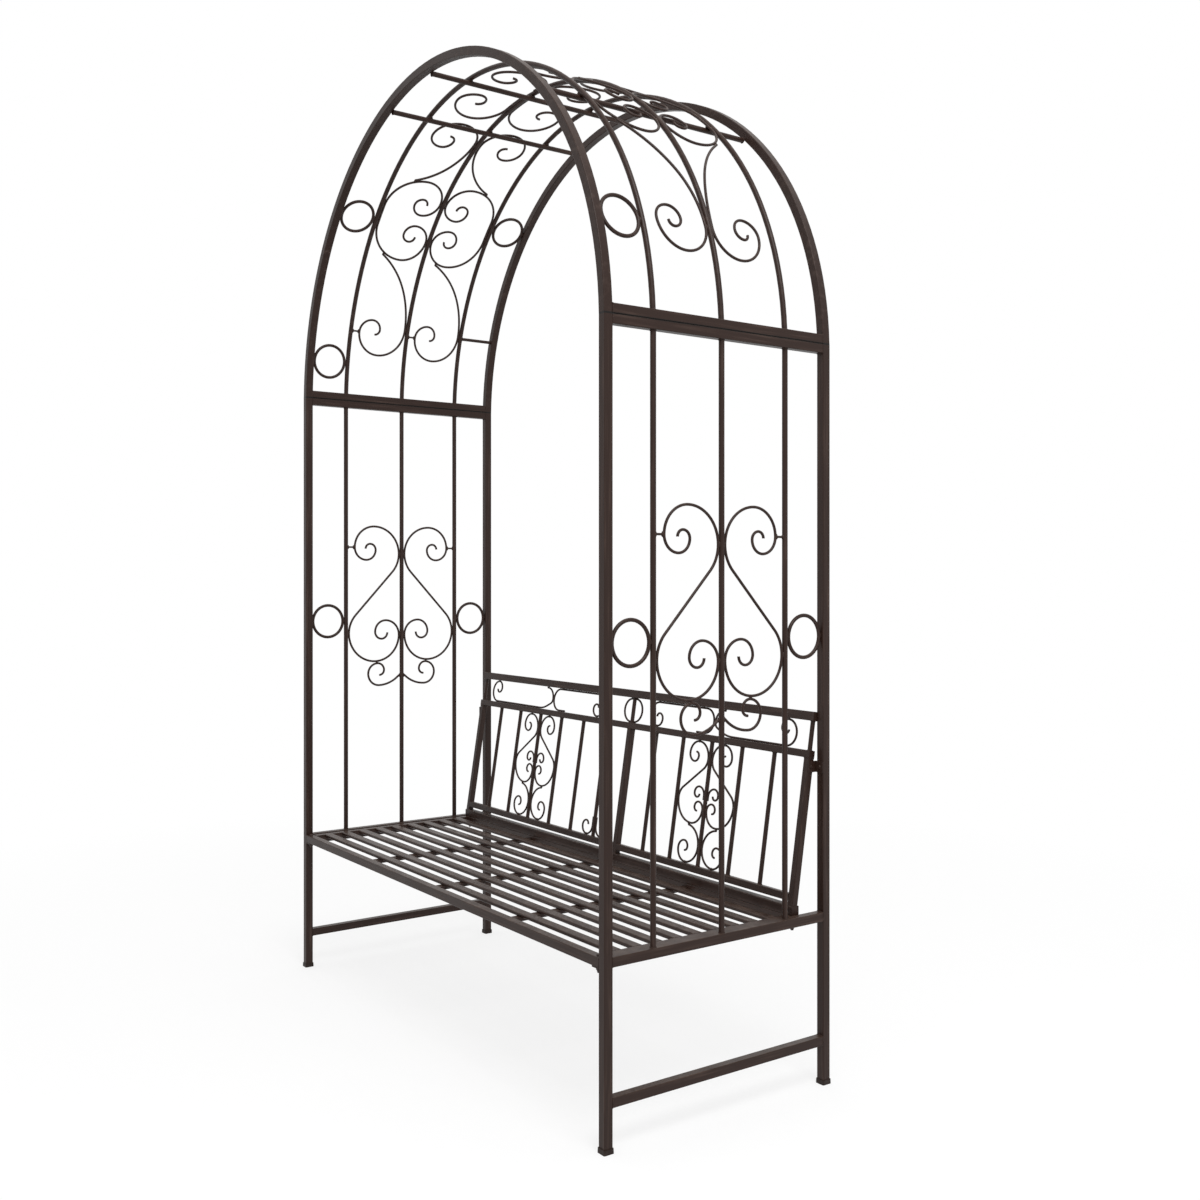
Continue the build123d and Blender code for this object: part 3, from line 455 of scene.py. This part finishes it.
# %% [markdown]
# Where a tube or bar ends on another tube, the weld runs round it as a collar.
# A torus would fit round bars only. Here the path is a superellipse, which is a circle for the power 2 and
# a square with rounded corners for a high power, so one formula serves bars and square tubes. The bead's
# thickness swells and shrinks along the path in small even steps, as the ripples of a real weld do.


# %% Surface of weld collars
def weld_collars(name, centres, frames, half, power, bead, ripples, segments, sides=6):
    """A bead along a path: path radius = half / (|cos|^p + |sin|^p)^(1/p) in the plane of the first two axes,
    and round it a circle whose radius is the bead times 1 + 0.16 sin(ripples times the path angle)."""
    count = len(centres)
    turn = np.arange(segments)[:, None] * 2 * np.pi / segments
    swing = np.arange(sides)[None, :] * 2 * np.pi / sides
    path = half / (np.abs(np.cos(turn)) ** power + np.abs(np.sin(turn)) ** power) ** (1 / power)
    thick = bead * (1 + 0.16 * np.sin(ripples * turn))
    reach = path + thick * np.cos(swing)
    local = np.stack(np.broadcast_arrays(reach * np.cos(turn), reach * np.sin(turn),
                                         thick * np.sin(swing)), -1)
    points = centres[:, None, :] + np.einsum("ka,nab->nkb", local.reshape(-1, 3), frames)
    step, spoke = np.meshgrid(np.arange(segments), np.arange(sides), indexing="ij")
    ahead, beside = (step + 1) % segments, (spoke + 1) % sides
    quads = np.stack([step * sides + spoke, ahead * sides + spoke,
                      ahead * sides + beside, step * sides + beside], -1)
    faces = quads.reshape(-1, 4) + (np.arange(count) * segments * sides)[:, None, None]
    add_piece(name, points, faces.reshape(-1, 4).tolist(), weld_coat)


along_x = np.array([(0, 1, 0), (0, 0, 1), (1, 0, 0)], float)
along_y = np.array([(0, 0, 1), (1, 0, 0), (0, 1, 0)], float)
along_z = np.eye(3)
print("collar surface ready")

# %% [markdown]
# The cross tubes meet the posts at four heights on each side, and the seat's end rails meet its front rail.
# Places could be typed in, but here the ends are read from the boxes of the CAD nodes, so the collars stay on
# the tubes when the frame changes.

# %% Collars of the square tubes
ends = []
for side_name in ("left", "right"):
    for rail in ("panel_top_rail", "panel_seat_rail", "stretcher", "arch_rail"):
        low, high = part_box(f"{side_name}_{rail}")
        ends += [((low.x + high.x) / 2, y, (low.z + high.z) / 2) for y in (low.y, high.y)]
    low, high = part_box(f"seat_{side_name}_rail")
    ends += [((low.x + high.x) / 2, low.y, (low.z + high.z) / 2)]
centres = np.array(ends)
square_weld = dict(half=0.0098, power=11.0, bead=0.0013, ripples=34, segments=136)
weld_collars("tube_weld_collars", centres, same_frame(along_y, centres), **square_weld)
low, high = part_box("seat_rear_rail")
centres = np.array([(x, (low.y + high.y) / 2, (low.z + high.z) / 2) for x in (low.x, high.x)])
weld_collars("seat_rear_weld_collars", centres, same_frame(along_x, centres), **square_weld)

# %% [markdown]
# The round bars stand on the rails of the panels, the rods on the arch rails, and the purlins end on the
# arches. Each gets a collar with the power 2, which makes the path a circle on the bar's skin.

# %% Collars of the round bars
round_weld = dict(half=0.0060, power=2.0, bead=0.0013, ripples=15, segments=60, sides=5)
bar_foot_z, bar_head_z = 0.3722, 1.5758
centres = np.array([(x, y, z) for x in (-post_x, post_x) for y in bar_y for z in (bar_foot_z, bar_head_z)])
weld_collars("panel_bar_weld_collars", centres, same_frame(along_z, centres), **round_weld)
rod_x, rod_foot_z = 0.714, 1.6162
centres = np.array([(x, y, rod_foot_z) for x in (-rod_x, rod_x) for y in bar_y])
weld_collars("rod_weld_collars", centres, same_frame(along_z, centres), **round_weld)
purlin_radius, purlin_end_y = 0.70285, 0.2798
purlin_z = arch_z + np.sqrt(purlin_radius ** 2 - purlin_x ** 2)
centres = np.array([(x, y, z) for x, z in zip(purlin_x, purlin_z) for y in (-purlin_end_y, purlin_end_y)])
weld_collars("purlin_weld_collars", centres, same_frame(along_y, centres), **round_weld)

# %% [markdown]
# The back's bars end on its rails, and its three square stiles end under the middle rail.
# Collars here lie square to the lean, which is the third axis of the back's frame. Turning the finished
# object would do the same, but with the lean in its points it stays unturned, as the CAD nodes are.

# %% Collars of the back
stile_x = bay_line[[left_stile, middle_stile, right_stile]]
bar_x = np.setdiff1d(bay_line, stile_x)
thin_weld = dict(half=0.0050, power=2.0, bead=0.0011, ripples=13, segments=40, sides=5)
stile_weld = dict(half=0.0079, power=9.0, bead=0.0011, ripples=28, segments=112, sides=5)
foot_rise, head_rise, band_foot_rise, band_head_rise = 0.0243, 0.3157, 0.3323, 0.3957
centres, frames = back_frames([(x, rise) for x in bar_x for rise in (foot_rise, head_rise)])
weld_collars("back_bar_weld_collars", centres, frames, **thin_weld)
centres, frames = back_frames([(x, rise) for x in stile_x for rise in (band_foot_rise, band_head_rise)])
weld_collars("band_bar_weld_collars", centres, frames, **thin_weld)
centres, frames = back_frames([(x, head_rise) for x in stile_x])
weld_collars("stile_weld_collars", centres, frames, **stile_weld)

# %% [markdown]
# The photograph shows the bench on white paper, so a pale floor carries the bench's shadow.
# For the camera the paper also glows, which keeps the shadow faint, and more so far from the bench, which
# hides the line where floor and sky meet. A glossy surface shows the same white, because Light Path also
# knows the rays that leave a mirror or a glass. Light that falls on the bench still comes from the plain
# paper.


# %% White floor
def seen_share(tree):
    """1 for a ray from the camera, a glossy surface or a glass, and 0 for light that fills the scene."""
    path = put(tree, "ShaderNodeLightPath").outputs
    share = path["Is Camera Ray"]
    for kind in ("Is Glossy Ray", "Is Transmission Ray"):
        share = work_out(tree, "MAXIMUM", share, path[kind])
    return share


scene = bpy.context.scene
mesh = bpy.data.meshes.new("paper_floor")
half_floor = 300
corners = [(-half_floor, -half_floor, 0), (half_floor, -half_floor, 0),
           (half_floor, half_floor, 0), (-half_floor, half_floor, 0)]
mesh.from_pydata(corners, [], [(0, 1, 2, 3)])
floor = bpy.data.objects.new("paper_floor", mesh)
scene.collection.objects.link(floor)
floor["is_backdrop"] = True
paper = bpy.data.materials.new("white_paper")
paper.use_nodes = True
tree = paper.node_tree
shader = tree.nodes["Principled BSDF"]
black, white = (0, 0, 0, 1), (1, 1, 1, 1)
spot = object_place(tree)
paper_grain = 3.0
tone = blend(tree, noise(tree, spot, paper_grain, 2.0), (0.93, 0.93, 0.93, 1), (0.95, 0.95, 0.95, 1))
reach = put(tree, "ShaderNodeVectorMath", {0: spot}, operation="LENGTH").outputs["Value"]
near_edge, far_edge, near_glow, far_glow = 1.0, 3.0, 0.72, 1.0
glow = between(tree, reach, near_edge, far_edge, near_glow, far_glow)
glow = work_out(tree, "MULTIPLY", glow, seen_share(tree))
tree.links.new(blend(tree, glow, tone, black), shader.inputs["Base Color"])
tree.links.new(blend(tree, glow, black, white), shader.inputs["Emission Color"])
shader.inputs["Emission Strength"].default_value = 1.0
shader.inputs["Roughness"].default_value = 0.9
shader.inputs["Specular IOR Level"].default_value = 0.0
mesh.materials.append(paper)
print("paper floor,", 2 * half_floor, "m wide")

# %% [markdown]
# The light stays at a plain level, so that a colour renders about as it is written, and the Standard view
# adds no curve of its own. An even sky gives the fill and is white where it is seen. One large soft lamp
# above the right side gives each face its own tone. A sun would do that too, but with hard edges on shadows.

# %% Sky and lamp
scene.view_settings.view_transform = "Standard"
world = bpy.data.worlds.new("studio_sky")
scene.world = world
world.use_nodes = True
tree = world.node_tree
fill_light, seen_light = 0.80, 1.0
strength = between(tree, seen_share(tree), 0.0, 1.0, fill_light, seen_light)
sky = tree.nodes["Background"]
sky.inputs["Color"].default_value = white
tree.links.new(strength, sky.inputs["Strength"])

lamp_data = bpy.data.lights.new("soft_lamp", "AREA")
lamp_data.energy, lamp_data.shape, lamp_data.size = 120.0, "DISK", 2.5
lamp = bpy.data.objects.new("soft_lamp", lamp_data)
lamp.location, lamp.rotation_euler = (3.0, -0.9, 4.4), (radians(41), 0, radians(75))
scene.collection.objects.link(lamp)
print("sky", fill_light, "and a lamp of", lamp_data.energy, "W")

# %% [markdown]
# The camera stands to the right of the front and looks level at the bench, from about half its height.
# Its place was fitted to the posts, rails and feet in the photograph. Keeping it level keeps the posts
# upright in the picture, and a small shift lowers the frame instead of tilting it.

# %% Camera
camera_data = bpy.data.cameras.new("front_right_camera")
camera_data.sensor_width, camera_data.lens = 36.0, 38.45
camera_data.shift_x, camera_data.shift_y = 0.0009, -0.0208
camera = bpy.data.objects.new("front_right_camera", camera_data)
camera.location, camera.rotation_euler = (2.69146, -1.71301, 1.09799), (radians(90), 0, radians(54.55))
scene.collection.objects.link(camera)
scene.camera = camera
print("camera at", [round(v, 3) for v in camera.location])

# %% [markdown]
# The dressed bench must not grow past the CAD model, so the box round everything it shows is worked out
# at the end.

# %% Box of the dressed bench
low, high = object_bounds()
